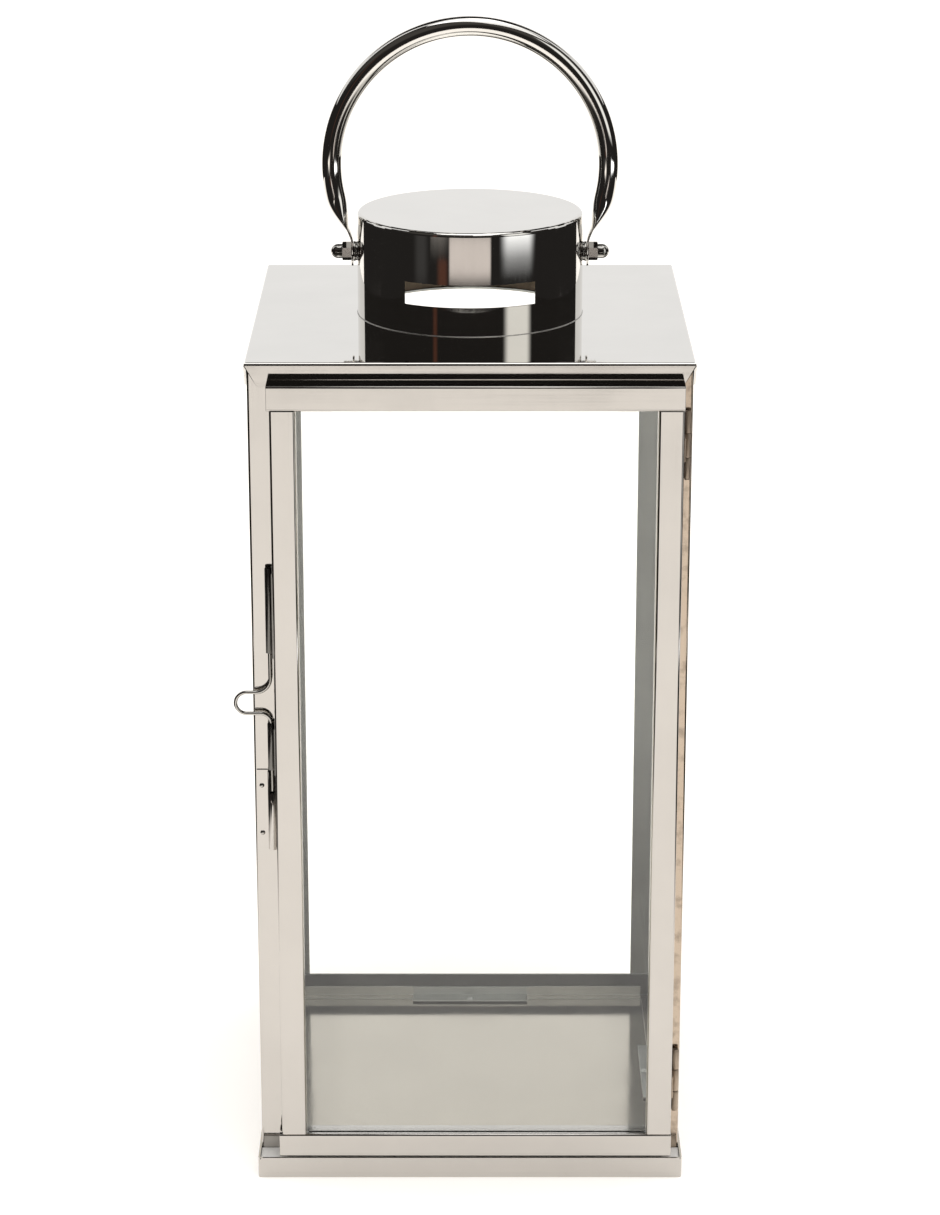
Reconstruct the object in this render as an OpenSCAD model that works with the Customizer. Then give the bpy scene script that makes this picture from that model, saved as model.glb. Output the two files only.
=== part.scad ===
// Candle lantern: polished sheet-steel body with four glass sides, a hinged
// glass door with a drop-pin latch, a slotted chimney and a swinging ring handle.
// Units are millimetres. The origin is the centre of the base on the ground,
// +Z is up and the door faces -Y.

/* [Body] */
// Width of the base, and width and depth of the lid
base_w = 210; // [180:1:260]
// Height from the ground to the top of the lid
lid_z = 412.5; // [330:0.5:520]
// How far the corner posts stand in from the edge of the base
post_inset = 1.25; // [1.1:0.05:2]
// Height of the base tray's rim
rim_h = 10.7; // [9:0.1:14]
// Sheet thickness of the frame
sheet = 1; // [0.8:0.1:1.2]
// Leg width of the corner posts
post_leg = 15; // [12:0.5:20]
// Height of the lid's folded-down edge
lid_lip = 12; // [10:0.5:14]
// Thickness of the glass panes
glass_t = 2; // [2:0.5:3]

/* [Door] */
// Width and depth of the door's square tube
tube_w = 12; // [10:0.5:14]
// Gap under the door, above the rim of the base tray
door_clearance = 0.8; // [0.5:0.1:3]
// Gap between the post's left edge and the door, where the latch sits
latch_gap = 9.5; // [9:0.25:12]
// Gap between the door and the post's right edge, where the hinges sit
hinge_gap = 4.3; // [4.2:0.1:6]

/* [Latch] */
// Diameter of the latch wire
wire_d = 1.8; // [1.6:0.1:2]
// Height of the middle of the finger loop above the ground
loop_z = 246.2; // [200:0.1:300]
// How far the finger loop stands out from the pin's axis
loop_reach = 16.8; // [14:0.2:20]

/* [Chimney] */
// Outer diameter of the chimney
chimney_d = 110; // [90:1:130]
// Height of the chimney above the lid
chimney_h = 50; // [40:1:60]
// Width of each vent slot, straight across
slot_w = 62; // [40:1:70]
// Height of each vent slot
slot_h = 11; // [8:0.5:14]

/* [Handle] */
// Diameter of the handle's tube
handle_d = 9.6; // [8:0.1:11]
// Radius of the ring, to the middle of the tube
ring_r = 67; // [62:1:75]
// Height of the handle's pivot above the lid
pivot_h = 29.9; // [28:0.1:34]

/* [Hidden] */
$fn = 96;

steel = "#dcd8d0";
dark_steel = "#8f8c86";
pane = "#cfe0dc";

// Shared planes of the frame, as distances from the centre
edge = base_w / 2;
post_face = edge - post_inset;
rail_face = post_face - sheet;
glass_face = rail_face - sheet;
stop_face = glass_face - glass_t;
fit_gap = 0.02;

// Heights
floor_z = sheet;
lid_under = lid_z - sheet;
lip_z = lid_z - lid_lip;
bottom_rail_z = 13.5;
stop_z = 7;
stop_t = 0.8;

// Chimney and vent
chimney_r = chimney_d / 2;
chimney_t = 0.8;
chimney_z = lid_z + chimney_h;
cap_edge_r = 2;
slot_z = lid_z + 14;
vent_hole_r = chimney_r - 2;

// Handle pivot: the stack of parts on each screw, outwards from the chimney
pivot_z = lid_z + pivot_h;
screw_r = 2.5;
washer_t = 0.8;
tooth_washer_x = chimney_r + 0.05;
flat_washer_x = tooth_washer_x + washer_t;
ear_t = 1;
ear_gap = 0.1;
ear_x = flat_washer_x + washer_t + ear_gap;
cap_nut_x = ear_x + ear_t + ear_gap;
ear_r = 7.2;
ring_z = pivot_z + 42.3;

// Door: tube frame that lies in front of the posts
door_gap = 0.6;
door_back = -edge - door_gap;
door_mid = door_back - tube_w / 2;
door_front = door_back - tube_w;
door_z = rim_h + door_clearance;
door_left = -post_face + latch_gap;
door_right = post_face - hinge_gap;
door_top = lid_z - 8;
stile_inset = 1.4;
stile_left = door_left + stile_inset;
stile_right = door_right - 0.2;
tube_t = 0.8;
tube_corner = 1;
groove_depth = 2.5;
door_glass_y = door_front + 4;

// Hinges: barrels rolled from one sheet with their leaf
leaf_t = 0.8;
roll = 0.2;
barrel_r = 1.7;
barrel_y = -post_face - leaf_t + roll - barrel_r;
hinge_x = stile_right + leaf_t - roll + barrel_r;
pin_r = 0.83;
pin_bore_r = 0.9;
hinge_h = 32;
hinge_low_z = 32;
hinge_high_z = door_top - tube_w - 3 - hinge_h;
knuckle_h = 10;
knuckle_gap = 0.3;

// Latch pin, its two sleeves on the door and its keeper on the post
latch_x = stile_left - 2.3;
keeper_r = 2.2;
latch_y = -post_face - leaf_t + roll - keeper_r;
wire_r = wire_d / 2;
wire_bore_r = wire_r + 0.08;
loop_half = 5.3;
low_bend = 5;
high_bend = 7;
sleeve_r = 1.8;
sleeve_plate_t = 0.6;
low_sleeve_top = loop_z - loop_half - low_bend - 0.05;
low_sleeve_z = low_sleeve_top - 23.5;
high_sleeve_z = loop_z + loop_half + high_bend + 13;
high_sleeve_top = high_sleeve_z + 42;
keeper_top = low_sleeve_z - 1;
keeper_h = 40;
notch_h = 11;
pin_low_z = keeper_top - 10;
pin_high_z = high_sleeve_top - 14;

module rounded_rectangle(w, d, r) {
    // Rectangle centred on the origin with true arcs at its corners
    square([w - 2 * r, d], center = true);
    square([w, d - 2 * r], center = true);
    for (x = [-1, 1], y = [-1, 1])
        translate([x * (w / 2 - r), y * (d / 2 - r)])
            circle(r = r, $fn = 32);
}

module side(k) {
    // Turns a part drawn for the front to side k: 0 front, 1 right, 2 back, 3 left
    rotate([0, 0, 90 * k])
        children();
}

module base_tray() {
    // Shallow open tray; its front reaches out under the door
    r = 1.5;
    y_mid = (edge + door_front) / 2;
    depth = edge - door_front;
    color(steel)
        translate([0, y_mid, 0])
            difference() {
                linear_extrude(rim_h)
                    rounded_rectangle(base_w, depth, r);
                translate([0, 0, sheet])
                    linear_extrude(rim_h)
                        rounded_rectangle(base_w - 2 * sheet, depth - 2 * sheet, r - sheet);
            }
}

module door_sill() {
    // Channel, open side down, that fills the tray under the door
    clearance = 0.2;
    sill_z = rim_h - 1;
    half = edge - sheet - clearance;
    low = door_front + sheet + clearance;
    depth = -post_face - clearance - low;
    color(steel)
        difference() {
            translate([-half, low, floor_z])
                cube([2 * half, depth, sill_z - floor_z]);
            translate([-half - 1, low + sheet, 0])
                cube([2 * half + 2, depth - 2 * sheet, sill_z - sheet]);
        }
}

module post(k) {
    // Folded angle at the left end of side k
    bend = 1;
    color(steel)
        side(k)
            translate([-post_face, -post_face, floor_z])
                linear_extrude(lid_under - floor_z)
                    difference() {
                        union() {
                            translate([bend, 0])
                                square([post_leg - bend, post_leg]);
                            translate([0, bend])
                                square([post_leg, post_leg - bend]);
                            translate([bend, bend])
                                circle(r = bend, $fn = 32);
                        }
                        translate([sheet, sheet])
                            square(post_leg);
                    }
}

module mitred_strip(face, depth, h) {
    // Strip along the front whose ends are cut at 45 degrees
    linear_extrude(h)
        polygon([
            [-face + fit_gap, -face],
            [face - fit_gap, -face],
            [face - depth - fit_gap, -face + depth],
            [-face + depth + fit_gap, -face + depth]
        ]);
}

module bottom_rail(k) {
    color(steel)
        side(k)
            translate([0, 0, floor_z])
                mitred_strip(rail_face, sheet, bottom_rail_z - floor_z);
}

module top_rail(k) {
    // Angle: a wall behind the lid's edge and a flange under the lid
    flange_w = 10;
    color(steel)
        side(k) {
            translate([0, 0, lip_z])
                mitred_strip(rail_face, sheet, lid_under - lip_z);
            translate([0, 0, lid_under - sheet])
                mitred_strip(rail_face, flange_w, sheet);
        }
}

module fixed_glass(k) {
    // The back pane runs behind the ends of the two side panes
    pane_top = lid_under - sheet - 1;
    front_end = k == 2 ? -glass_face + 0.4 : -stop_face + 0.4;
    side_low = k == 1 ? -glass_face + 0.4 : -stop_face + 0.4;
    side_high = k == 3 ? glass_face - 0.4 : stop_face - 0.4;
    low = k == 2 ? front_end : side_low;
    high = k == 2 ? -front_end : side_high;
    color(pane, 0.35)
        side(k)
            translate([low, -glass_face, floor_z])
                cube([high - low, glass_t - fit_gap, pane_top - floor_z]);
}

module glass_stop(k) {
    // Low angle that keeps the foot of a fixed pane against the rail
    foot_w = 5;
    half = stop_face - 0.4;
    color(dark_steel)
        side(k) {
            translate([-half + foot_w, -stop_face, floor_z])
                cube([2 * (half - foot_w), stop_t, stop_z - floor_z]);
            translate([-half + foot_w, -stop_face, floor_z])
                cube([2 * (half - foot_w), foot_w, stop_t]);
        }
}

clip_w = 63;
clip_h = 5;
clip_foot = 9;
clip_y = stop_face - stop_t - fit_gap;
clip_z = floor_z + stop_t + fit_gap;
clip_screw_y = clip_y - 6.5;

module glass_clip(k) {
    // Short angle screwed down in front of the stop
    color(steel)
        side(k)
            difference() {
                union() {
                    translate([-clip_w / 2, -clip_y, clip_z])
                        cube([clip_w, sheet, clip_h]);
                    translate([-clip_w / 2, -clip_y, clip_z])
                        cube([clip_w, clip_foot, stop_t]);
                }
                translate([0, -clip_screw_y, 0])
                    cylinder(r = 1.3, h = clip_z + clip_h);
            }
}

module clip_screws() {
    head_r = 2.2;
    color(dark_steel)
        for (k = [1, 2, 3])
            side(k)
                translate([0, -clip_screw_y, clip_z + stop_t + fit_gap]) {
                    intersection() {
                        cylinder(r = head_r, h = 1.2);
                        translate([0, 0, -1.6])
                            sphere(r = 2.8, $fn = 48);
                    }
                    translate([0, 0, -stop_t])
                        cylinder(r = 1.2, h = stop_t);
                }
}

module lid() {
    // Square plate whose four edges are folded down, with slanting ends
    cut = 6.5;
    color(steel) {
        difference() {
            translate([-edge, -edge, lid_under])
                cube([base_w, base_w, sheet]);
            translate([0, 0, lid_under - sheet])
                cylinder(r = vent_hole_r, h = 3 * sheet);
        }
        for (k = [0:3])
            side(k)
                translate([0, -edge + sheet, 0])
                    rotate([90, 0, 0])
                        linear_extrude(sheet)
                            polygon([
                                [-edge + cut, lip_z],
                                [edge - cut, lip_z],
                                [edge, lid_under + sheet / 2],
                                [-edge, lid_under + sheet / 2]
                            ]);
    }
}

module chimney_wall() {
    color(steel)
        difference() {
            translate([0, 0, lid_z])
                cylinder(r = chimney_r, h = chimney_h - cap_edge_r);
            translate([0, 0, lid_z - 1])
                cylinder(r = chimney_r - chimney_t, h = chimney_h + 2);
            translate([-slot_w / 2, -chimney_r - 1, slot_z])
                cube([slot_w, 2 * chimney_r + 2, slot_h]);
            translate([-chimney_r - 1, 0, pivot_z])
                rotate([0, 90, 0])
                    cylinder(r = screw_r + 0.1, h = 2 * chimney_r + 2);
        }
}

module chimney_cap() {
    // Pressed disc with a rounded edge and a skirt that slips inside the wall
    skirt_r = chimney_r - chimney_t - fit_gap;
    skirt_h = 4;
    t = chimney_t;
    color(steel)
        translate([0, 0, chimney_z])
            rotate_extrude() {
                polygon([
                    [0, -t],
                    [0, 0],
                    [chimney_r - cap_edge_r, 0],
                    for (a = [80:-10:0])
                        [chimney_r - cap_edge_r + cap_edge_r * cos(a), cap_edge_r * (sin(a) - 1)],
                    [skirt_r, -cap_edge_r],
                    [skirt_r, -cap_edge_r - skirt_h],
                    [skirt_r - t, -cap_edge_r - skirt_h],
                    [skirt_r - t, -t]
                ]);
            }
}

module both_pivots() {
    // Draws a part along +X at the right pivot and again at the left one
    for (turn = [0, 180])
        rotate([0, 0, turn])
            translate([0, 0, pivot_z])
                rotate([0, 90, 0])
                    children();
}

module pivot_screws() {
    // Pan head inside the chimney, shank through to the cap nut
    head_h = 2.6;
    head_x = chimney_r - chimney_t - 0.35;
    color(dark_steel)
        both_pivots() {
            translate([0, 0, head_x - head_h])
                cylinder(r = 4.5, h = head_h);
            translate([0, 0, head_x - 0.5])
                cylinder(r = screw_r, h = cap_nut_x + 6.5 - head_x);
        }
}

module tooth_washers() {
    teeth = 10;
    color(dark_steel)
        both_pivots()
            translate([0, 0, tooth_washer_x])
                difference() {
                    cylinder(r = 4.6, h = washer_t);
                    translate([0, 0, -1])
                        cylinder(r = screw_r + 0.1, h = washer_t + 2);
                    for (i = [0:teeth - 1])
                        rotate([0, 0, i * 360 / teeth])
                            translate([4, -0.45, -1])
                                cube([2, 0.9, washer_t + 2]);
                }
}

module flat_washers() {
    color(dark_steel)
        both_pivots()
            translate([0, 0, flat_washer_x])
                difference() {
                    cylinder(r = 4.9, h = washer_t);
                    translate([0, 0, -1])
                        cylinder(r = screw_r + 0.1, h = washer_t + 2);
                }
}

module cap_nuts() {
    // Hexagon with chamfered corners under a dome
    across_flats = 8;
    hex_h = 4.4;
    dome_r = 3.5;
    nut_h = 10;
    corner_r = across_flats / 2 / cos(30);
    color(steel)
        both_pivots()
            translate([0, 0, cap_nut_x])
                difference() {
                    union() {
                        intersection() {
                            cylinder(r = corner_r, h = hex_h, $fn = 6);
                            cylinder(r1 = corner_r + hex_h - 0.4, r2 = corner_r - 0.4, h = hex_h);
                        }
                        cylinder(r = dome_r, h = nut_h - dome_r);
                        translate([0, 0, nut_h - dome_r])
                            sphere(r = dome_r);
                    }
                    translate([0, 0, -1])
                        cylinder(r = screw_r + 0.05, h = 7.6);
                }
}

// Where the round tube of the ring ends and its flattening begins
flat_angle = 27;
bore_wall = 0.8;
flat_z = ring_z - ring_r * sin(flat_angle);
flat_x = ring_r * cos(flat_angle);
ear_mid = ear_x + ear_t / 2;

module handle() {
    // Tube bent to a ring; its two ends are pressed flat and drilled
    color(steel) {
        translate([0, 0, ring_z])
            rotate([90, 0, 0])
                rotate([0, 0, -flat_angle])
                    rotate_extrude(angle = 180 + 2 * flat_angle)
                        translate([ring_r, 0])
                            difference() {
                                circle(d = handle_d, $fn = 48);
                                circle(d = handle_d - 2 * bore_wall, $fn = 48);
                            }
        for (turn = [0, 180])
            rotate([0, 0, turn]) {
                hull() {
                    translate([flat_x, 0, flat_z])
                        rotate([0, flat_angle, 0])
                            cylinder(d = handle_d, h = 0.2, $fn = 32);
                    translate([ear_x, -ear_r, pivot_z + 12])
                        cube([ear_t, 2 * ear_r, 0.2]);
                }
                difference() {
                    union() {
                        translate([ear_x, -ear_r, pivot_z])
                            cube([ear_t, 2 * ear_r, 12.2]);
                        translate([ear_x, 0, pivot_z])
                            rotate([0, 90, 0])
                                cylinder(r = ear_r, h = ear_t);
                    }
                    translate([ear_x - 1, 0, pivot_z])
                        rotate([0, 90, 0])
                            cylinder(r = screw_r + 0.08, h = ear_t + 2);
                }
            }
    }
}

module door_tube(len) {
    // Square tube along +Z, slotted along its +X side to take the glass
    slot = glass_t + 0.4;
    linear_extrude(len)
        difference() {
            translate([-tube_w / 2, 0])
                rounded_rectangle(tube_w, tube_w, tube_corner);
            translate([-tube_w / 2, 0])
                square(tube_w - 2 * tube_t, center = true);
            translate([-2 * tube_t, door_glass_y - door_mid - slot / 2])
                square([3 * tube_t, slot]);
        }
}

stile_low = door_z + tube_w;
stile_high = door_top - tube_w;

module door_stile_left() {
    color(steel)
        translate([stile_left + tube_w, door_mid, stile_low])
            door_tube(stile_high - stile_low);
}

module door_stile_right() {
    color(steel)
        translate([stile_right - tube_w, door_mid, stile_low])
            mirror([1, 0, 0])
                door_tube(stile_high - stile_low);
}

module door_rail(z, top) {
    // A rail runs the full width, over the ends of both stiles, with its slot towards the glass
    color(steel)
        translate([0, door_mid, z + (top ? 0 : tube_w)])
            rotate([0, top ? 90 : -90, 0])
                translate([0, 0, top ? door_left : -door_right])
                    door_tube(door_right - door_left);
}

module door_glass() {
    x = stile_left + tube_w - groove_depth;
    z = stile_low - groove_depth;
    w = stile_right - tube_w + groove_depth - x;
    h = stile_high + groove_depth - z;
    end_t = tube_t + 0.1;
    color(pane, 0.35)
        translate([0, door_glass_y - glass_t / 2, 0]) {
            translate([x, 0, stile_low + fit_gap])
                cube([w, glass_t, stile_high - stile_low - 2 * fit_gap]);
            translate([x + groove_depth + end_t, 0, z])
                cube([w - 2 * groove_depth - 2 * end_t, glass_t, h]);
        }
}

module barrel(x, z, h, bore_r) {
    difference() {
        translate([x, barrel_y, z])
            cylinder(r = barrel_r, h = h, $fn = 48);
        translate([x, barrel_y, z - 1])
            cylinder(r = bore_r, h = h + 2, $fn = 48);
    }
}

module hinge_post_leaf(z) {
    // Leaf on the post's front face with the two outer knuckles
    leaf_w = 9;
    middle = hinge_h - 2 * knuckle_h;
    color(dark_steel)
        difference() {
            union() {
                translate([hinge_x - leaf_w, -post_face - leaf_t, z])
                    cube([leaf_w, leaf_t - fit_gap, hinge_h]);
                for (low = [z, z + hinge_h - knuckle_h])
                    barrel(hinge_x, low, knuckle_h, pin_bore_r);
            }
            translate([hinge_x - barrel_r - 0.3, barrel_y - barrel_r, z + knuckle_h])
                cube([2 * barrel_r + 1, 2 * barrel_r + leaf_t, middle]);
        }
}

module hinge_door_leaf(z) {
    // Leaf on the side of the door with the middle knuckle
    low = z + knuckle_h + knuckle_gap;
    h = hinge_h - 2 * (knuckle_h + knuckle_gap);
    leaf_deep = barrel_y - door_front - 2;
    color(dark_steel) {
        translate([stile_right + fit_gap, door_front + 2, low])
            cube([leaf_t - fit_gap, leaf_deep, h]);
        barrel(hinge_x, low, h, pin_bore_r);
    }
}

module hinge_pins() {
    head_h = 0.6;
    color(dark_steel)
        for (z = [hinge_low_z, hinge_high_z])
            translate([hinge_x, barrel_y, z]) {
                cylinder(r = pin_r, h = hinge_h, $fn = 48);
                for (end = [-head_h, hinge_h])
                    translate([0, 0, end])
                        cylinder(r = 1.4, h = head_h, $fn = 48);
            }
}

rivet_x = latch_x - 5.1;
rivet_heights = [keeper_top - 8, keeper_top - 32.4];

module latch_keeper() {
    // Leaf riveted to the post; the top of its barrel is notched towards the front
    leaf_x = latch_x - 7.5;
    color(dark_steel)
        difference() {
            union() {
                translate([leaf_x, -post_face - leaf_t, keeper_top - keeper_h])
                    cube([latch_x - leaf_x, leaf_t - fit_gap, keeper_h]);
                translate([latch_x, latch_y, keeper_top - keeper_h])
                    cylinder(r = keeper_r, h = keeper_h, $fn = 48);
            }
            translate([latch_x, latch_y, keeper_top - keeper_h - 1])
                cylinder(r = wire_bore_r, h = keeper_h + 2, $fn = 48);
            translate([latch_x - wire_bore_r, latch_y - 2 * keeper_r, keeper_top - notch_h])
                cube([2 * wire_bore_r, 2 * keeper_r, notch_h + 1]);
            for (z = rivet_heights)
                translate([rivet_x, -post_face + 1, z])
                    rotate([90, 0, 0])
                        cylinder(r = 0.7, h = 4, $fn = 32);
        }
}

module keeper_rivets() {
    color(dark_steel)
        for (z = rivet_heights)
            translate([rivet_x, -post_face - leaf_t - fit_gap, z])
                rotate([90, 0, 0]) {
                    intersection() {
                        cylinder(r = 1.2, h = 0.7, $fn = 32);
                        translate([0, 0, -0.7])
                            sphere(r = 1.4, $fn = 48);
                    }
                    translate([0, 0, -leaf_t])
                        cylinder(r = 0.6, h = leaf_t, $fn = 32);
                }
}

module latch_sleeve(z, top) {
    // Tube that guides the pin, rolled from a plate on the door's left side
    plate_deep = 9;
    color(dark_steel)
        difference() {
            union() {
                translate([stile_left - sleeve_plate_t, latch_y - plate_deep, z])
                    cube([sleeve_plate_t - fit_gap, plate_deep, top - z]);
                translate([latch_x, latch_y, z])
                    cylinder(r = sleeve_r, h = top - z, $fn = 48);
            }
            translate([latch_x, latch_y, z - 1])
                cylinder(r = wire_bore_r, h = top - z + 2, $fn = 48);
        }
}

module wire_arc(centre_x, centre_z, r, start, turn) {
    translate([centre_x, 0, centre_z])
        rotate([90, 0, 0])
            rotate([0, 0, start])
                rotate_extrude(angle = turn)
                    translate([r, 0])
                        circle(r = wire_r, $fn = 32);
}

module latch_pin() {
    // Drop pin bent from one wire, with a finger loop to lift it by
    tip_x = -loop_reach + loop_half;
    arm_low = loop_z - loop_half;
    arm_high = loop_z + loop_half;
    color(steel)
        translate([latch_x, latch_y, 0]) {
            translate([0, 0, pin_low_z])
                cylinder(r = wire_r, h = arm_low - low_bend - pin_low_z, $fn = 32);
            wire_arc(-low_bend, arm_low - low_bend, low_bend, 0, 90);
            translate([tip_x, 0, arm_low])
                rotate([0, 90, 0])
                    cylinder(r = wire_r, h = -low_bend - tip_x, $fn = 32);
            wire_arc(tip_x, loop_z, loop_half, 90, 180);
            translate([tip_x, 0, arm_high])
                rotate([0, 90, 0])
                    cylinder(r = wire_r, h = -high_bend - tip_x, $fn = 32);
            wire_arc(-high_bend, arm_high + high_bend, high_bend, -90, 90);
            translate([0, 0, arm_high + high_bend])
                cylinder(r = wire_r, h = pin_high_z - arm_high - high_bend, $fn = 32);
        }
}

base_tray();
door_sill();
post(0);  // post_front_left
post(1);  // post_front_right
post(2);  // post_back_right
post(3);  // post_back_left
bottom_rail(0);  // bottom_rail_front
bottom_rail(1);  // bottom_rail_right
bottom_rail(2);  // bottom_rail_back
bottom_rail(3);  // bottom_rail_left
top_rail(0);  // top_rail_front
top_rail(1);  // top_rail_right
top_rail(2);  // top_rail_back
top_rail(3);  // top_rail_left
fixed_glass(1);  // glass_right
fixed_glass(2);  // glass_back
fixed_glass(3);  // glass_left
glass_stop(1);  // glass_stop_right
glass_stop(2);  // glass_stop_back
glass_stop(3);  // glass_stop_left
glass_clip(1);  // glass_clip_right
glass_clip(2);  // glass_clip_back
glass_clip(3);  // glass_clip_left
clip_screws();
lid();
chimney_wall();
chimney_cap();
pivot_screws();
tooth_washers();
flat_washers();
cap_nuts();
handle();
latch_keeper();
keeper_rivets();
hinge_post_leaf(hinge_high_z);  // hinge_post_leaf_upper
hinge_post_leaf(hinge_low_z);  // hinge_post_leaf_lower
hinge_door_leaf(hinge_high_z);  // hinge_door_leaf_upper
hinge_door_leaf(hinge_low_z);  // hinge_door_leaf_lower
hinge_pins();
door_stile_left();
door_stile_right();
door_rail(stile_high, true);  // door_rail_top
door_rail(door_z, false);  // door_rail_bottom
door_glass();
latch_sleeve(high_sleeve_z, high_sleeve_top);  // latch_sleeve_upper
latch_sleeve(low_sleeve_z, low_sleeve_top);  // latch_sleeve_lower
latch_pin();
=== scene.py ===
"""Looks of the candle lantern: polished steel sheet, clear glass and a plain pale studio."""

import math

import bmesh
import bpy
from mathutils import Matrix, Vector


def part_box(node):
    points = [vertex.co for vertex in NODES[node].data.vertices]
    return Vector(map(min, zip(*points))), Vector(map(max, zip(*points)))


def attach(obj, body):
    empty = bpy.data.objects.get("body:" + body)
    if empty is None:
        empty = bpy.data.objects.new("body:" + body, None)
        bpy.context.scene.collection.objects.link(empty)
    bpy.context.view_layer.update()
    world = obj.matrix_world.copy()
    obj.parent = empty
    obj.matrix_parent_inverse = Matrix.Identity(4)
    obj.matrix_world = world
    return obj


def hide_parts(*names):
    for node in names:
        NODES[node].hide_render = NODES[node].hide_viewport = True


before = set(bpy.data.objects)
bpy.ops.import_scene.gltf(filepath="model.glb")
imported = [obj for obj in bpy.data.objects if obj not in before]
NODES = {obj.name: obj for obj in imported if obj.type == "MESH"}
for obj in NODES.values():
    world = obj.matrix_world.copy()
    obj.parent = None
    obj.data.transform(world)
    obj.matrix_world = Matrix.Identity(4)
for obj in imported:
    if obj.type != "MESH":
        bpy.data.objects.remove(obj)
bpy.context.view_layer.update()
MM = 0.001


# ---------------------------------------------------------------- material helpers

class Nodes:
    """A material's node tree with a Principled shader, and short calls to add to it."""

    def __init__(self, name):
        self.material = bpy.data.materials.new(name)
        self.material.use_nodes = True
        self.tree = self.material.node_tree
        self.shader = self.tree.nodes["Principled BSDF"]
        self.place = self.add("ShaderNodeTexCoord").outputs["Object"]

    def add(self, kind, **values):
        node = self.tree.nodes.new(kind)
        for key, value in values.items():
            setattr(node, key, value)
        return node

    def link(self, output, target):
        self.tree.links.new(output, target)

    def set(self, **values):
        for key, value in values.items():
            self.shader.inputs[key.replace("_", " ")].default_value = value

    def stretched(self, stretch):
        """Object coordinates times a scale of its own along each axis."""
        mapping = self.add("ShaderNodeMapping")
        mapping.inputs["Scale"].default_value = stretch
        self.link(self.place, mapping.inputs["Vector"])
        return mapping.outputs["Vector"]

    def noise(self, vector, scale, detail=3.0, roughness=0.5):
        node = self.add("ShaderNodeTexNoise")
        node.inputs["Scale"].default_value = scale
        node.inputs["Detail"].default_value = detail
        node.inputs["Roughness"].default_value = roughness
        self.link(vector, node.inputs["Vector"])
        return node.outputs["Fac"]

    def remap(self, value, low, high, to_low, to_high):
        node = self.add("ShaderNodeMapRange")
        for key, number in (("From Min", low), ("From Max", high), ("To Min", to_low), ("To Max", to_high)):
            node.inputs[key].default_value = number
        self.link(value, node.inputs["Value"])
        return node.outputs["Result"]

    def sum(self, a, b):
        node = self.add("ShaderNodeMath", operation="ADD")
        self.link(a, node.inputs[0])
        self.link(b, node.inputs[1])
        return node.outputs["Value"]

    def between(self, fac, colour_a, colour_b):
        node = self.add("ShaderNodeMix", data_type="RGBA")
        for key, colour in (("A", colour_a), ("B", colour_b)):
            if isinstance(colour, tuple):
                node.inputs[key].default_value = (*colour, 1)
            else:
                self.link(colour, node.inputs[key])
        self.link(fac, node.inputs["Factor"])
        return node.outputs["Result"]

    def bump(self, height, distance, under=None):
        node = self.add("ShaderNodeBump")
        node.inputs["Distance"].default_value = distance
        self.link(height, node.inputs["Height"])
        if under is not None:
            self.link(under, node.inputs["Normal"])
        return node.outputs["Normal"]


def shade(colour, factor):
    return tuple(channel * factor for channel in colour)


# ---------------------------------------------------------------- materials

def steel(name, colour, rough, grain=(1, 1, 1), wave=0.0, grain_depth=0.0, tarnish_from=None):
    """Polished sheet: smudges in colour and gloss, fine polishing lines along the grain, gentle waves.
    It is tarnished right of the plane x = tarnish_from, where the polishing cloth can't reach."""
    m = Nodes(name)
    m.set(Metallic=1.0)
    smudge = m.noise(m.place, 22, 5, 0.6)
    lines = m.noise(m.stretched(grain), 900, 2, 0.5)
    surface = m.between(m.remap(smudge, 0.35, 0.7, 0, 1), colour, shade(colour, 0.955))
    if tarnish_from is not None:
        axes = m.add("ShaderNodeSeparateXYZ")
        m.link(m.place, axes.inputs["Vector"])
        edge = m.remap(axes.outputs["X"], tarnish_from - 0.6 * MM, tarnish_from, 0, 1)
        spots = m.remap(m.noise(m.place, 170, 4, 0.6), 0.5, 0.68, 0, 1)
        tarnish = m.between(spots, TARNISHED_STEEL, shade(TARNISHED_STEEL, 0.68))
        surface = m.between(edge, surface, tarnish)
    m.link(surface, m.shader.inputs["Base Color"])
    gloss = m.sum(
        m.remap(smudge, 0.4, 0.75, rough * 0.75, rough * 1.35),
        m.remap(lines, 0.45, 0.8, 0, rough * 0.5),
    )
    m.link(gloss, m.shader.inputs["Roughness"])
    slow = m.noise(m.place, 9, 1, 0.4)
    normal = m.bump(slow, wave)
    m.link(m.bump(lines, grain_depth, normal), m.shader.inputs["Normal"])
    return m.material


def clear_glass(name):
    """Float glass, a little green, with faint smears that only show as gloss."""
    m = Nodes(name)
    m.set(Base_Color=(0.99, 0.998, 0.994, 1), Transmission_Weight=1.0, IOR=1.5)
    smear = m.noise(m.stretched((1, 1, 0.25)), 14, 4, 0.6)
    m.link(m.remap(smear, 0.5, 0.8, 0.0, 0.03), m.shader.inputs["Roughness"])
    return m.material


FLOOR_COLOURS = ((0.955, 0.92, 0.875), (0.97, 0.935, 0.89))
LIT_FROM_BELOW = (1.0, 0.965, 0.92, 1)


def pale_floor(name):
    """Matt white board, a little warm, lit from below until it is as white as the backdrop."""
    m = Nodes(name)
    cloud = m.noise(m.place, 1.7, 3, 0.5)
    m.link(m.between(cloud, *FLOOR_COLOURS), m.shader.inputs["Base Color"])
    m.set(Roughness=0.9, Specular_IOR_Level=0.1)
    m.set(Emission_Color=LIT_FROM_BELOW, Emission_Strength=0.35)
    return m.material


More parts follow.
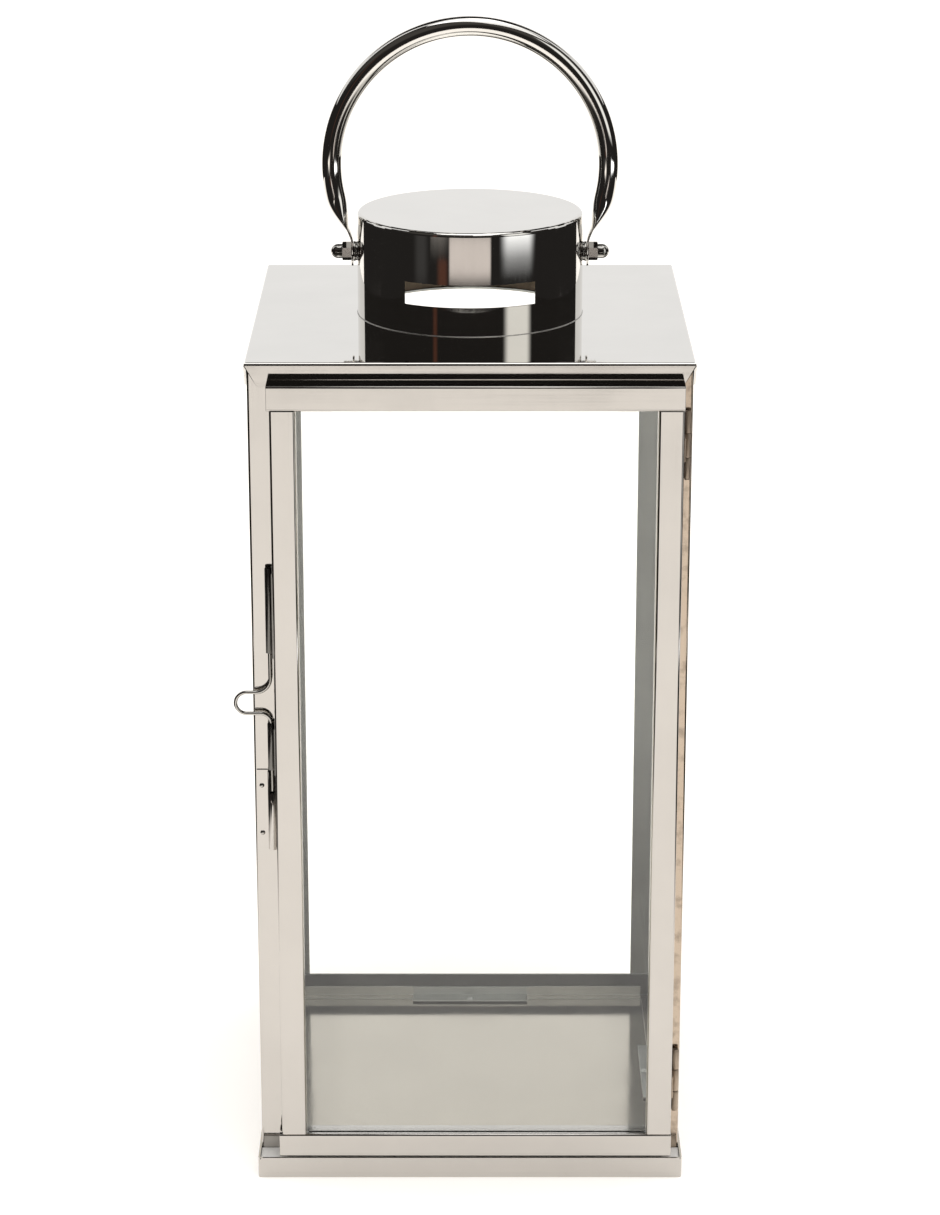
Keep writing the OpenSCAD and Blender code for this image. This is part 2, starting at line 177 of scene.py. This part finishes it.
def glow(name, colour, edge_colour):
    """A surface that only shines. It fades to edge_colour where its fade attribute is 0."""
    material = bpy.data.materials.new(name)
    material.use_nodes = True
    tree = material.node_tree
    tree.nodes.clear()
    fade = tree.nodes.new("ShaderNodeAttribute")
    fade.attribute_name = "fade"
    mix = tree.nodes.new("ShaderNodeMix")
    mix.data_type = "RGBA"
    mix.inputs["A"].default_value = (*edge_colour, 1)
    mix.inputs["B"].default_value = (*colour, 1)
    emission = tree.nodes.new("ShaderNodeEmission")
    output = tree.nodes.new("ShaderNodeOutputMaterial")
    tree.links.new(fade.outputs["Fac"], mix.inputs["Factor"])
    tree.links.new(mix.outputs["Result"], emission.inputs["Color"])
    tree.links.new(emission.outputs["Emission"], output.inputs["Surface"])
    return material


def raw_metal(name, colour, rough, metallic=1.0):
    """Unpolished sheet: dull, with rolling marks and a few stains."""
    m = Nodes(name)
    m.set(Metallic=metallic)
    stain = m.noise(m.place, 40, 5, 0.65)
    rolled = m.noise(m.stretched((1, 1, 0.05)), 700, 2, 0.5)
    surface = m.between(m.remap(stain, 0.35, 0.75, 0, 1), colour, shade(colour, 0.8))
    m.link(surface, m.shader.inputs["Base Color"])
    m.link(m.remap(rolled, 0.3, 0.7, rough * 0.85, rough * 1.2), m.shader.inputs["Roughness"])
    m.link(m.bump(rolled, 0.0000015), m.shader.inputs["Normal"])
    return m.material


WARM_STEEL = (0.53, 0.505, 0.475)
BRIGHT_STEEL = (0.705, 0.685, 0.65)
TRAY_STEEL = (0.50, 0.458, 0.39)
NUT_STEEL = (0.45, 0.435, 0.41)
ZINC = (0.93, 0.90, 0.85)
TARNISHED_STEEL = (0.47, 0.385, 0.305)
DARK_STEEL = (0.17, 0.165, 0.155)
RAW_STEEL = (0.47, 0.475, 0.445)
# Darker copy of the raw steel for the inner faces of the posts: painted shade.
RAW_POST_SHADED = (0.27, 0.27, 0.25)
GROOVE_STEEL = (0.36, 0.33, 0.26)
TINTED_STEEL = (0.12, 0.095, 0.07)
ALONG_Y = (1, 0.04, 1)
ALONG_X = (0.02, 1, 1)
ALONG_Z = (1, 1, 0.02)

BEHIND_DOOR = 98.2 * MM

MATERIALS = {
    "upright": steel("upright_steel", WARM_STEEL, 0.075, ALONG_Z, 0.00006, 0.0000004),
    "behind_hinge": steel("behind_hinge_steel", WARM_STEEL, 0.12, ALONG_Z, 0.00006, 0.0000004, BEHIND_DOOR),
    "level": steel("level_steel", WARM_STEEL, 0.075, ALONG_X, 0.00006, 0.0000004),
    "tray": steel("tray_steel", TRAY_STEEL, 0.12, ALONG_Y, 0.00010, 0.0000002),
    "mirror": steel("mirror_steel", BRIGHT_STEEL, 0.035, ALONG_X, 0.00008, 0.0000001),
    "chimney": steel("chimney_steel", BRIGHT_STEEL, 0.03, ALONG_Z, 0.00003, 0.0000001),
    "tube": steel("tube_steel", BRIGHT_STEEL, 0.04, (1, 1, 1), 0.00002, 0.0000001),
    "hardware": steel("hardware_steel", NUT_STEEL, 0.14, ALONG_Z, 0.0, 0.0000012),
    "sleeve": steel("sleeve_steel", DARK_STEEL, 0.24, ALONG_Z, 0.0, 0.0000025),
    "nut": steel("nut_steel", NUT_STEEL, 0.08, (1, 1, 1), 0.0, 0.0000008),
    "solder": steel("solder_steel", NUT_STEEL, 0.38, (1, 1, 1), 0.0, 0.000004),
    "zinc": raw_metal("zinc_plate", ZINC, 0.5, 0.0),
    "tarnished": raw_metal("tarnished_steel", TARNISHED_STEEL, 0.5),
    "raw": raw_metal("raw_steel", RAW_STEEL, 0.34),
    "groove": raw_metal("groove_steel", GROOVE_STEEL, 0.3),
    "raw_post": raw_metal("raw_post_steel", RAW_POST_SHADED, 0.34),
    "tinted": raw_metal("heat_tinted_steel", TINTED_STEEL, 0.42),
    "glass": clear_glass("clear_glass"),
}

LOOK_OF_NODE = {
    "lid": "mirror",
    "chimney_wall": "chimney",
    "chimney_cap": "mirror",
    "cap_nuts": "nut",
    "latch_sleeve_upper": "sleeve",
    "latch_sleeve_lower": "sleeve",
    "latch_keeper": "upright",
    "door_sill": "zinc",
    "clip_screws": "raw",
    "glass_clip_back": "raw",
    "glass_clip_left": "raw",
    "glass_clip_right": "raw",
    "latch_pin": "nut",
    "glass_right": "glass",
    "glass_back": "glass",
    "glass_left": "glass",
    "door_glass": "glass",
}
HARDWARE_WORDS = ("keeper", "screws", "washers")
UPRIGHT_WORDS = ("post", "stile")


def look_of(node):
    if node in LOOK_OF_NODE:
        return LOOK_OF_NODE[node]
    if "hinge" in node:
        return "tarnished"
    if any(word in node for word in HARDWARE_WORDS):
        return "hardware"
    if any(word in node for word in UPRIGHT_WORDS):
        return "upright"
    return "level"


# ---------------------------------------------------------------- CAD nodes: finish and soft edges

EDGE = {"glass": 0.15 * MM, "hardware": 0.12 * MM, "nut": 0.15 * MM, "sleeve": 0.1 * MM}
RAW_INSIDE = ("_rail_", "glass_stop", "lid")
TINTED_INSIDE = ("chimney_wall", "chimney_cap")
FACING = 0.6
NEARLY_UPRIGHT = 0.4
LID_BEND = 1.4 * MM
SHEET_EDGE = 0.18 * MM
SHARP = math.radians(40)
WELD = 0.001 * MM
NO_BEVEL = ("latch_pin", "chimney_cap", "chimney_wall", "clip_screws", "keeper_rivets")


def weld_faces(node):
    weld = node.modifiers.new("weld", "WELD")
    weld.merge_threshold = WELD


def soften(node, width):
    """Rounds the sharp edges of a sheet the way polishing does."""
    weld_faces(node)
    bevel = node.modifiers.new("polished_edges", "BEVEL")
    bevel.width = width
    bevel.segments = 2
    bevel.limit_method = "ANGLE"
    bevel.angle_limit = SHARP
    bevel.harden_normals = True


def bend_lid(node):
    """Rounds only the bends round the top of the folded lid."""
    mesh = node.data
    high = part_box("lid")[1]
    near = 0.05 * MM
    weight = mesh.attributes.new("bevel_weight_edge", "FLOAT", "EDGE")
    for edge in mesh.edges:
        ends = [mesh.vertices[i].co for i in edge.vertices]
        on_top = all(end.z > high.z - near for end in ends)
        at_side = [all(abs(end[axis]) > high[axis] - near for end in ends) for axis in (0, 1)]
        if on_top and any(at_side):
            weight.data[edge.index].value = 1
    weld_faces(node)
    bevel = node.modifiers.new("sheet_bend", "BEVEL")
    bevel.width = LID_BEND
    bevel.segments = 6
    bevel.limit_method = "WEIGHT"
    bevel.harden_normals = True


def face_inwards(polygon):
    """A face that looks at the lantern's axis or straight down."""
    to_axis = -Vector((polygon.center.x, polygon.center.y, 0)).normalized()
    return max(polygon.normal.dot(to_axis), -polygon.normal.z) > FACING


def face_up(polygon):
    return polygon.normal.z > FACING


def face_sideways(polygon):
    return abs(polygon.normal.z) < NEARLY_UPRIGHT


def face_opening(polygon):
    """The side of a door stile that faces the other stile."""
    return polygon.normal.x * polygon.center.x < -FACING * abs(polygon.center.x)


def face_forwards(polygon):
    return polygon.normal.y < -FACING


def second_look(node, look, wanted):
    """Gives the wanted faces of a CAD node another finish."""
    node.data.materials.append(MATERIALS[look])
    for polygon in node.data.polygons:
        if wanted(polygon):
            polygon.material_index = len(node.data.materials) - 1


def finish_cad_nodes():
    """Gives each CAD node its finish, a second one where it wasn't polished, and rounded edges."""
    for name, node in NODES.items():
        look = look_of(name)
        node.data.materials.clear()
        node.data.materials.append(MATERIALS[look])
        # The lid's upright faces take the darker, warmer body steel while its top keeps the bright steel:
        # painted shade on the sides of the one sheet.
        if name == "lid":
            second_look(node, "level", face_sideways)
        if any(word in name for word in TINTED_INSIDE):
            second_look(node, "tinted", face_inwards)
        # The inner faces of the posts take the darker raw steel: painted shade.
        elif "post_" in name and "leaf" not in name:
            second_look(node, "raw_post", face_inwards)
        elif any(word in name for word in RAW_INSIDE) and "door" not in name:
            second_look(node, "raw", face_inwards)
        if name == "base_tray" or "glass_stop" in name:
            second_look(node, "tray", face_up)
        if name == "post_front_right":
            second_look(node, "behind_hinge", face_forwards)
        if "door_stile" in name:
            second_look(node, "groove", face_opening)
        if name == "lid":
            bend_lid(node)
        elif name not in NO_BEVEL:
            soften(node, EDGE.get(look, SHEET_EDGE))


# ---------------------------------------------------------------- pieces made here

def piece(name, mesh, look, body):
    obj = bpy.data.objects.new(name, mesh)
    bpy.context.scene.collection.objects.link(obj)
    mesh.materials.append(MATERIALS[look])
    for polygon in mesh.polygons:
        polygon.use_smooth = True
    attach(obj, body)
    return obj


TUBE_R = 4.8 * MM
EAR_R = 7.2 * MM
EAR_HALF = 0.5 * MM
EAR_GAP = 0.1 * MM
RING_END = math.radians(27)
TAPER = math.radians(14)
THIN_HALF = 0.9 * MM
BLADE_TOP = 5 * MM
TIP_WIDTH = 0.02
SQUARING = 5
RING_STEPS = 240
BEND_STEPS = 16
BLADE_STEPS = 22
ROUND_STEPS = 48


def smooth_step(t):
    return t * t * (3 - 2 * t)


def bend(start, start_way, end, end_way, t):
    """Point and direction on a smooth curve that leaves start and reaches end in the given directions."""
    reach = (end - start).length
    a, b = start_way * reach, end_way * reach
    place = ((2 * t**3 - 3 * t**2 + 1) * start + (t**3 - 2 * t**2 + t) * a
             + (3 * t**2 - 2 * t**3) * end + (t**3 - t**2) * b)
    way = (6 * t**2 - 6 * t) * (start - end) + (3 * t**2 - 4 * t + 1) * a + (3 * t**2 - 2 * t) * b
    return place, way.normalized()


def handle_stations():
    """Places along the bent tube, from the right blade's end over the top to the left one's. Each is
    (centre x, centre z, turn of the section, half thickness, half width, squareness)."""
    low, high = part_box("handle")
    ring_r = high.x - TUBE_R
    ring_z = high.z - TUBE_R - ring_r
    pivot_z = low.z + EAR_R
    blade_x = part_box("flat_washers")[1].x + EAR_GAP + EAR_HALF
    right = []
    for i in range(BLADE_STEPS + 1):
        along = math.pi / 2 * i / BLADE_STEPS
        width = EAR_R * max(math.sin(along), TIP_WIDTH)
        right.append((blade_x, pivot_z - EAR_R * math.cos(along), 0, EAR_HALF, width, 1))
    start = Vector((blade_x, pivot_z + BLADE_TOP))
    end = Vector((ring_r * math.cos(RING_END), ring_z - ring_r * math.sin(RING_END)))
    end_way = Vector((math.sin(RING_END), math.cos(RING_END)))
    for i in range(BEND_STEPS):
        t = i / BEND_STEPS
        place, way = bend(start, Vector((0, 1)), end, end_way, t)
        half = EAR_HALF + (THIN_HALF - EAR_HALF) * t
        right.append((place.x, place.y, -math.atan2(way.x, way.y), half, EAR_R, 1 - smooth_step(t)))
    ring = []
    for i in range(RING_STEPS + 1):
        angle = -RING_END + (math.pi + 2 * RING_END) * i / RING_STEPS
        from_end = min(angle + RING_END, math.pi + RING_END - angle)
        t = min(from_end / TAPER, 1)
        rise = smooth_step(t)
        half = THIN_HALF + (TUBE_R - THIN_HALF) * math.sin(t * math.pi / 2)
        wide = EAR_R + (TUBE_R - EAR_R) * rise
        ring.append((ring_r * math.cos(angle), ring_z + ring_r * math.sin(angle), angle, half, wide, 0))
    left = [
        (-x, z, math.pi - turn, half, wide, square)
        for x, z, turn, half, wide, square in reversed(right)
    ]
    return right + ring + left


def section(half, wide, square):
    """Outline of the tube: a circle that turns into a flat bar with rounded edges."""
    power = 2 / (2 + SQUARING * square)
    points = []
    for i in range(ROUND_STEPS):
        angle = 2 * math.pi * i / ROUND_STEPS
        c, s = math.cos(angle), math.sin(angle)
        points.append((
            half * math.copysign(abs(c) ** power, c),
            wide * math.copysign(abs(s) ** power, s),
        ))
    return points


def ring_handle():
    """Tube bent to a ring whose ends are pressed flat."""
    bm = bmesh.new()
    loops = []
    for x, z, turn, half, wide, square in handle_stations():
        out = Vector((math.cos(turn), 0, math.sin(turn)))
        loops.append([
            bm.verts.new(Vector((x, 0, z)) + out * a + Vector((0, b, 0)))
            for a, b in section(half, wide, square)
        ])
    for one, two in zip(loops, loops[1:]):
        for i in range(ROUND_STEPS):
            j = (i + 1) % ROUND_STEPS
            bm.faces.new((one[i], one[j], two[j], two[i]))
    bm.faces.new(loops[0])
    bm.faces.new(list(reversed(loops[-1])))
    bmesh.ops.recalc_face_normals(bm, faces=bm.faces)
    mesh = bpy.data.meshes.new("ring_handle")
    bm.to_mesh(mesh)
    handle = piece("ring_handle", mesh, "tube", "handle")
    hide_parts("handle")


def foot_bead():
    """Fine line of solder where the chimney meets the lid."""
    low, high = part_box("chimney_wall")
    bead_r = 0.3 * MM
    steps, around = 12, 240
    bm = bmesh.new()
    rings = []
    for i in range(around):
        angle = 2 * math.pi * i / around
        out = Vector((math.cos(angle), math.sin(angle), 0))
        ring = []
        for j in range(steps):
            turn = 2 * math.pi * j / steps
            ring.append(bm.verts.new(
                out * (high.x + bead_r * math.cos(turn)) + Vector((0, 0, low.z + bead_r * math.sin(turn)))
            ))
        rings.append(ring)
    for i in range(around):
        one, two = rings[i], rings[(i + 1) % around]
        for j in range(steps):
            k = (j + 1) % steps
            bm.faces.new((one[j], two[j], two[k], one[k]))
    bmesh.ops.recalc_face_normals(bm, faces=bm.faces)
    mesh = bpy.data.meshes.new("chimney_foot_bead")
    bm.to_mesh(mesh)
    piece("chimney_foot_bead", mesh, "solder", "lantern")


# ---------------------------------------------------------------- studio

def stage_mesh(name, verts, faces, material):
    mesh = bpy.data.meshes.new(name)
    mesh.from_pydata(verts, [], faces)
    mesh.materials.append(material)
    obj = bpy.data.objects.new(name, mesh)
    bpy.context.scene.collection.objects.link(obj)
    return obj


def only_in_reflections(obj):
    obj.visible_camera = False
    obj.visible_diffuse = False
    obj.visible_transmission = False
    obj.visible_shadow = False
    obj.visible_volume_scatter = False


def soft_grid(name, place, material, soft_across=0.12, soft_up=0.12, across=24, up=12):
    """A card that is place(u, v) for u and v from 0 to 1, with a fade of 0 along its edges and 1 inside."""
    verts, faces, fades = [], [], []
    for i in range(across + 1):
        for j in range(up + 1):
            u, v = i / across, j / up
            verts.append(place(u, v))
            side = min(u, 1 - u) / soft_across if soft_across else 1
            end = min(v, 1 - v) / soft_up if soft_up else 1
            fades.append(smooth_step(min(side, 1)) * smooth_step(min(end, 1)))
    for i in range(across):
        for j in range(up):
            a = i * (up + 1) + j
            faces.append((a, a + 1, a + up + 2, a + up + 1))
    obj = stage_mesh(name, verts, faces, material)
    fade = obj.data.attributes.new("fade", "FLOAT", "POINT")
    fade.data.foreach_set("value", fades)
    only_in_reflections(obj)


def floor_card(name, r_low, r_high, start, end, height, material, **soft):
    """Card on the floor, from start to end degrees: 0 is straight ahead of the door, + is to the right.
    Cards that overlap have different heights, and the higher one hides the other."""
    def place(u, v):
        angle = math.radians(start + (end - start) * u)
        r = r_low + (r_high - r_low) * v
        return (r * math.sin(angle), -r * math.cos(angle), height)
    soft_grid(name, place, material, **soft)


def wall_card(name, radius, start, end, low, high, material, **soft):
    """Upright card on a dome round the lantern, between two azimuths and two elevations, in degrees."""
    def place(u, v):
        angle = math.radians(start + (end - start) * u)
        rise = math.radians(low + (high - low) * v)
        return (
            radius * math.cos(rise) * math.sin(angle),
            -radius * math.cos(rise) * math.cos(angle),
            radius * math.sin(rise),
        )
    soft_grid(name, place, material, **soft)


def side_card(name, side, material):
    """Dark floor beside the table, which the handle's outer curves and the posts' bends mirror.
    It lies under the dark floor of the room, which hides its far end."""
    near, far = TABLE_SIDE
    front, back = SIDE_DEPTH
    def place(u, v):
        return (side * (near + (far - near) * v), front + (back - front) * u, 0.0005)
    soft_grid(name, place, material, soft_across=0.08, soft_up=0.1, up=24)


TABLE_EDGE = 1.83
TABLE_SIDE = (0.3, 2.5)
SIDE_DEPTH = (-1.8, 0.42)
WALL_R = 5.0
NEAR_WALL_R = 4.7
FRONT_REACH = 100
DARK_REACH = 138
FRONT_WALL_TOP = 24
SIDE_WALL_TOP = 20
UPPER_WALL_TOP = 72
REAR_CEILING = (125, 235, 36)
HARD = {"soft_across": 0, "soft_up": 0}

ROOM = (0.02, 0.0185, 0.0175)
DIM_WALL = (0.07, 0.065, 0.06)
TABLE_GLOW = (1.3, 1.25, 1.19)
# Glow of a card seen only in reflections: a painted pale reflection on the chimney and the handle.
PALE_REFLECTION = (0.86, 0.78, 0.735)
SOFTBOX = (1.2, 1.2, 1.17)
SOFTBOX_SHEEN = (5.0, 5.1, 5.2)
LEFT_SHEEN = (1.7, 1.6, 1.5)
# Glow of cards seen only in reflections: a painted brown reflection on the chimney.
BROWN_REFLECTION = (0.105, 0.045, 0.03)
HAZE = (0.055, 0.053, 0.052)


def dark_room():
    """Walls and floor behind the camera, and the floor beside the table."""
    dark = glow("dark_room", ROOM, ROOM)
    reach, top = FRONT_REACH, FRONT_WALL_TOP
    floor_card("dark_floor", TABLE_EDGE, WALL_R, -DARK_REACH, DARK_REACH, 0.001, dark, **HARD, across=96)
    wall_card("dark_wall", WALL_R, -reach, reach, 0, top, dark, **HARD, across=72)
    dim = glow("dim_upper_wall", DIM_WALL, ROOM)
    wall_card("dim_upper_wall", WALL_R, -reach, reach, top, UPPER_WALL_TOP, dim,
              soft_across=0.2, soft_up=0.3, across=72)
    start, end, low = REAR_CEILING
    wall_card("dark_ceiling_end", WALL_R, start, end, low, UPPER_WALL_TOP, dark, **HARD)
    shaded = glow("dark_side", ROOM, TABLE_GLOW)
    for side, word in ((-1, "left"), (1, "right")):
        wall_card("dark_wall_side", WALL_R, side * reach, side * DARK_REACH, 0, SIDE_WALL_TOP, dark, **HARD)
        side_card("dark_side_" + word, side, shaded)


def lit_things():
    """Glowing cards in the dark room, seen only in reflections: painted reflections that show as pale or
    brown patches on the chimney and the handle.
    """
    # Glowing card seen only in reflections: a painted pale reflection.
    pale_glow = glow("painted_pale_reflection", PALE_REFLECTION, ROOM)
    floor_card("painted_pale_reflection", 1.93, 2.27, -21.5, 21.5, 0.004, pale_glow, soft_across=0.05, soft_up=0.3)
    softbox = glow("tall_softbox", SOFTBOX, ROOM)
    wall_card("tall_softbox", NEAR_WALL_R, 33, 66, 2, 50, softbox, soft_across=0.22, soft_up=0.08)
    sheen = glow("softbox_sheen", SOFTBOX_SHEEN, ROOM)
    floor_card("softbox_sheen", 1.98, 3.2, 29, 70, 0.004, sheen, soft_across=0.25, soft_up=0.5)
    left = glow("left_sheen", LEFT_SHEEN, ROOM)
    floor_card("left_sheen", 2.08, 3.4, -46, -17, 0.0035, left, soft_across=0.4, soft_up=0.5)
    # Glowing cards seen only in reflections: a painted brown reflection.
    brown_glow = glow("painted_brown_reflection", BROWN_REFLECTION, ROOM)
    floor_card("painted_brown_reflection", 1.86, 2.6, -35, -20, 0.003, brown_glow, soft_across=0.4, soft_up=0.1)
    wall_card("painted_brown_reflection_back", NEAR_WALL_R, -39, -32, 0, 34, brown_glow, soft_across=0.45)
    haze = glow("room_haze", HAZE, ROOM)
    floor_card("room_haze", 1.86, 2.7, -60, -40, 0.004, haze, soft_across=0.4, soft_up=0.2)


FLOOR_HALF = 14
OVERHEAD = (0.3, -0.3, 2.3)
OVERHEAD_AIM = (0, 0, 0.2)
OVERHEAD_SIZE = 1.5
OVERHEAD_WATTS = 9


def studio():
    """White floor and backdrop, a softbox overhead, and what the steel mirrors."""
    half = FLOOR_HALF
    corners = [(-half, -half, 0), (half, -half, 0), (half, half, 0), (-half, half, 0)]
    stage_mesh("floor", corners, [(0, 1, 2, 3)], pale_floor("pale_floor"))
    dark_room()
    lit_things()
    world = bpy.data.worlds.new("studio_world")
    world.use_nodes = True
    background = world.node_tree.nodes["Background"]
    background.inputs["Color"].default_value = (1.0, 1.0, 1.0, 1)
    background.inputs["Strength"].default_value = 1.0
    bpy.context.scene.world = world
    area_light("overhead_softbox", OVERHEAD, OVERHEAD_AIM, OVERHEAD_SIZE, OVERHEAD_WATTS)


def area_light(name, place, aim, size, power):
    light = bpy.data.lights.new(name, "AREA")
    light.shape = "SQUARE"
    light.size = size
    light.energy = power
    obj = bpy.data.objects.new(name, light)
    obj.location = place
    obj.rotation_euler = (Vector(aim) - Vector(place)).to_track_quat("-Z", "Y").to_euler()
    bpy.context.scene.collection.objects.link(obj)


AIM_HEIGHT = 0.2335
CAMERA_ELEVATION = math.radians(18.8)
CAMERA_DISTANCE = 1.80
CAMERA_LENS = 105.2
CAMERA_SHIFT = 0.04


def camera():
    """Camera in front of the door, a little above the lantern and tilted down."""
    data = bpy.data.cameras.new("camera")
    data.lens = CAMERA_LENS
    data.sensor_width = 36
    data.shift_y = CAMERA_SHIFT
    obj = bpy.data.objects.new("camera", data)
    aim = Vector((0, 0, AIM_HEIGHT))
    back = Vector((0, -math.cos(CAMERA_ELEVATION), math.sin(CAMERA_ELEVATION)))
    obj.location = aim + back * CAMERA_DISTANCE
    obj.rotation_euler = (aim - obj.location).to_track_quat("-Z", "Y").to_euler()
    bpy.context.scene.collection.objects.link(obj)
    bpy.context.scene.camera = obj
    bpy.context.scene.view_settings.view_transform = "Standard"


camera()
finish_cad_nodes()
ring_handle()
foot_bead()
studio()
